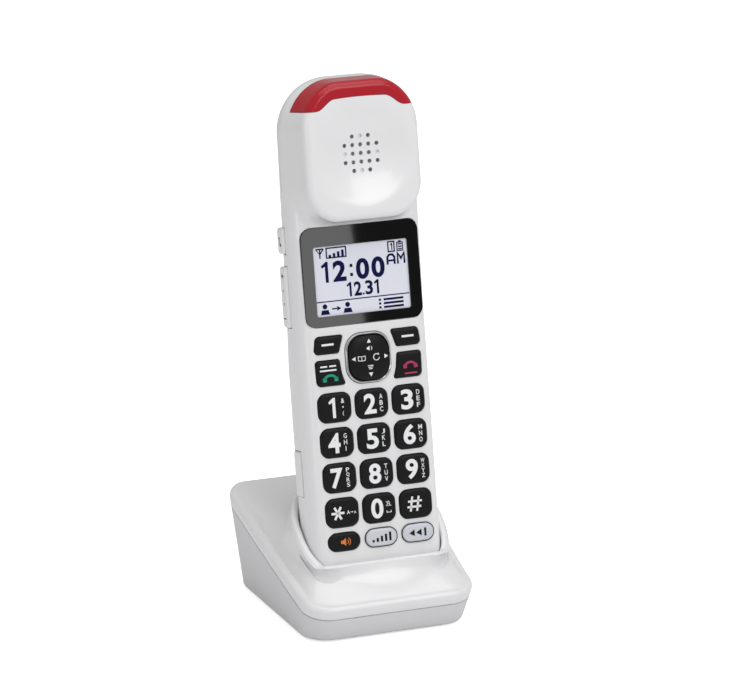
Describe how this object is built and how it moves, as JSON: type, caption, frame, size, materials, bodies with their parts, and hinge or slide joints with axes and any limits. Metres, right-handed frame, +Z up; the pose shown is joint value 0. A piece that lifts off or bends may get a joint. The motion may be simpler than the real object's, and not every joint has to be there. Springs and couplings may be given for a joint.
{
  "type": "cordless phone with base",
  "caption": "Cordless telephone handset with large keys, a display and a raised earpiece, standing upright in a sloped charging base.",
  "frame": {"origin": "middle of the footprint, on the table plane", "axes": "+Z up, +X to the right of a person facing the keys, -Y towards that person"},
  "size_m": [0.0752, 0.0834, 0.2055],
  "materials": {
    "white_gloss": "moulded white plastic with a soft gloss",
    "base_gloss": "moulded pale grey-white plastic with a soft gloss",
    "base_lower": "moulded light grey plastic, slightly duller than the upper shell",
    "key_black": "black key plastic with a fine satin grain and white printed legends",
    "key_clear": "translucent pale blue-grey key plastic with dark legends",
    "window_black": "black glossy display window with a clear screen area",
    "screen": "pale blue-white backlit screen",
    "lens_red": "deep red transparent plastic",
    "trim_chrome": "bright plated trim",
    "contact_metal": "nickel-plated spring metal",
    "screw_steel": "zinc-plated steel",
    "board_green": "green solder mask",
    "speaker_grey": "dark grey moulded plastic",
    "rubber_grey": "soft grey rubber",
    "cell_green": "printed cell sleeve"
  },
  "bodies": {
    "charger": {"charger_top_shell": "base_gloss", "charger_bottom_shell": "base_lower", "charger_board": "board_green", "dc_inlet": "speaker_grey", "foot_front_left": "rubber_grey", "foot_front_right": "rubber_grey", "foot_rear_left": "rubber_grey", "foot_rear_right": "rubber_grey", "charger_screw_left": "screw_steel", "charger_screw_right": "screw_steel"},
    "handset": {"back_shell": "white_gloss", "battery_bridge": "contact_metal", "battery_cell_left": "cell_green", "battery_cell_right": "cell_green", "battery_spring": "contact_metal", "battery_tab": "contact_metal", "case_screw_left": "screw_steel", "case_screw_right": "screw_steel", "display_module": "screen", "display_window": "window_black", "earpiece_speaker": "speaker_grey", "front_shell": "white_gloss", "handset_contact_left": "contact_metal", "handset_contact_right": "contact_metal", "headset_jack": "speaker_grey", "keypad_mat": "rubber_grey", "main_board": "board_green", "microphone": "speaker_grey", "nav_ring": "trim_chrome", "rear_loudspeaker": "speaker_grey", "ringer_led": "screen", "ringer_lens": "lens_red"},
    "key_1": {"key_1": "key_black"},
    "key_2": {"key_2": "key_black"},
    "key_3": {"key_3": "key_black"},
    "key_4": {"key_4": "key_black"},
    "key_5": {"key_5": "key_black"},
    "key_6": {"key_6": "key_black"},
    "key_7": {"key_7": "key_black"},
    "key_8": {"key_8": "key_black"},
    "key_9": {"key_9": "key_black"},
    "key_star": {"key_star": "key_black"},
    "key_0": {"key_0": "key_black"},
    "key_hash": {"key_hash": "key_black"},
    "speaker_key": {"speaker_key": "key_black"},
    "boost_key": {"boost_key": "key_clear"},
    "slow_key": {"slow_key": "key_clear"},
    "talk_key": {"talk_key": "key_black"},
    "off_key": {"off_key": "key_black"},
    "soft_key_left": {"soft_key_left": "key_black"},
    "soft_key_right": {"soft_key_right": "key_black"},
    "nav_key": {"nav_key": "key_black"},
    "nav_hub": {"nav_hub": "speaker_grey"},
    "tone_key": {"tone_key": "white_gloss"},
    "volume_rocker": {"volume_rocker": "white_gloss"},
    "battery_cover": {"battery_cover": "white_gloss"},
    "jack_cover": {"jack_cover": "white_gloss"},
    "charge_contact_left": {"charge_contact_left": "contact_metal"},
    "charge_contact_right": {"charge_contact_right": "contact_metal"}
  },
  "joints": [
    {"name": "handset_lift", "type": "slide", "parent": "charger", "child": "handset", "axis": [0, 0.1891, 0.982], "range_m": [0, 0.06]},
    {"name": "key_1_press", "type": "slide", "parent": "handset", "child": "key_1", "axis": [0, 0.982, -0.1891], "range_m": [0, 0.0006], "stiffness_N_per_m": 1500},
    {"name": "key_2_press", "type": "slide", "parent": "handset", "child": "key_2", "axis": [0, 0.982, -0.1891], "range_m": [0, 0.0006], "stiffness_N_per_m": 1500},
    {"name": "key_3_press", "type": "slide", "parent": "handset", "child": "key_3", "axis": [0, 0.982, -0.1891], "range_m": [0, 0.0006], "stiffness_N_per_m": 1500},
    {"name": "key_4_press", "type": "slide", "parent": "handset", "child": "key_4", "axis": [0, 0.982, -0.1891], "range_m": [0, 0.0006], "stiffness_N_per_m": 1500},
    {"name": "key_5_press", "type": "slide", "parent": "handset", "child": "key_5", "axis": [0, 0.982, -0.1891], "range_m": [0, 0.0006], "stiffness_N_per_m": 1500},
    {"name": "key_6_press", "type": "slide", "parent": "handset", "child": "key_6", "axis": [0, 0.982, -0.1891], "range_m": [0, 0.0006], "stiffness_N_per_m": 1500},
    {"name": "key_7_press", "type": "slide", "parent": "handset", "child": "key_7", "axis": [0, 0.982, -0.1891], "range_m": [0, 0.0006], "stiffness_N_per_m": 1500},
    {"name": "key_8_press", "type": "slide", "parent": "handset", "child": "key_8", "axis": [0, 0.982, -0.1891], "range_m": [0, 0.0006], "stiffness_N_per_m": 1500},
    {"name": "key_9_press", "type": "slide", "parent": "handset", "child": "key_9", "axis": [0, 0.982, -0.1891], "range_m": [0, 0.0006], "stiffness_N_per_m": 1500},
    {"name": "key_star_press", "type": "slide", "parent": "handset", "child": "key_star", "axis": [0, 0.982, -0.1891], "range_m": [0, 0.0006], "stiffness_N_per_m": 1500},
    {"name": "key_0_press", "type": "slide", "parent": "handset", "child": "key_0", "axis": [0, 0.982, -0.1891], "range_m": [0, 0.0006], "stiffness_N_per_m": 1500},
    {"name": "key_hash_press", "type": "slide", "parent": "handset", "child": "key_hash", "axis": [0, 0.982, -0.1891], "range_m": [0, 0.0006], "stiffness_N_per_m": 1500},
    {"name": "speaker_key_press", "type": "slide", "parent": "handset", "child": "speaker_key", "axis": [0, 0.982, -0.1891], "range_m": [0, 0.0006], "stiffness_N_per_m": 1500},
    {"name": "boost_key_press", "type": "slide", "parent": "handset", "child": "boost_key", "axis": [0, 0.982, -0.1891], "range_m": [0, 0.0006], "stiffness_N_per_m": 1500},
    {"name": "slow_key_press", "type": "slide", "parent": "handset", "child": "slow_key", "axis": [0, 0.982, -0.1891], "range_m": [0, 0.0006], "stiffness_N_per_m": 1500},
    {"name": "talk_key_press", "type": "slide", "parent": "handset", "child": "talk_key", "axis": [0, 0.982, -0.1891], "range_m": [0, 0.0006], "stiffness_N_per_m": 1500},
    {"name": "off_key_press", "type": "slide", "parent": "handset", "child": "off_key", "axis": [0, 0.982, -0.1891], "range_m": [0, 0.0006], "stiffness_N_per_m": 1500},
    {"name": "soft_key_left_press", "type": "slide", "parent": "handset", "child": "soft_key_left", "axis": [0, 0.982, -0.1891], "range_m": [0, 0.0006], "stiffness_N_per_m": 1500},
    {"name": "soft_key_right_press", "type": "slide", "parent": "handset", "child": "soft_key_right", "axis": [0, 0.982, -0.1891], "range_m": [0, 0.0006], "stiffness_N_per_m": 1500},
    {"name": "nav_up_down", "type": "hinge", "parent": "handset", "child": "nav_hub", "pos_m": [0, -0.01127, 0.10192], "axis": [1, 0, 0], "range_deg": [-2.5, 2.5], "stiffness_Nm_per_rad": 0.4},
    {"name": "nav_left_right", "type": "hinge", "parent": "nav_hub", "child": "nav_key", "pos_m": [0, -0.01127, 0.10192], "axis": [0, 0.1891, 0.982], "range_deg": [-2.5, 2.5], "stiffness_Nm_per_rad": 0.4},
    {"name": "tone_key_press", "type": "slide", "parent": "handset", "child": "tone_key", "axis": [1, 0, 0], "range_m": [0, 0.0006], "stiffness_N_per_m": 1500},
    {"name": "volume_rock", "type": "hinge", "parent": "handset", "child": "volume_rocker", "pos_m": [-0.02475, 0.00191, 0.12433], "axis": [0, 0.982, -0.1891], "range_deg": [-3, 3], "stiffness_Nm_per_rad": 0.4},
    {"name": "battery_cover_hinge", "type": "hinge", "parent": "handset", "child": "battery_cover", "pos_m": [0, 0.00292, 0.06467], "axis": [-1, 0, 0], "range_deg": [0, 80]},
    {"name": "jack_cover_hinge", "type": "hinge", "parent": "handset", "child": "jack_cover", "pos_m": [-0.02605, -0.00924, 0.06645], "axis": [0, 0.982, -0.1891], "range_deg": [0, 90]},
    {"name": "charge_contact_left_spring", "type": "slide", "parent": "charger", "child": "charge_contact_left", "axis": [0, 0.1891, 0.982], "range_m": [-0.0008, 0], "stiffness_N_per_m": 400},
    {"name": "charge_contact_right_spring", "type": "slide", "parent": "charger", "child": "charge_contact_right", "axis": [0, 0.1891, 0.982], "range_m": [-0.0008, 0], "stiffness_N_per_m": 400}
  ]
}
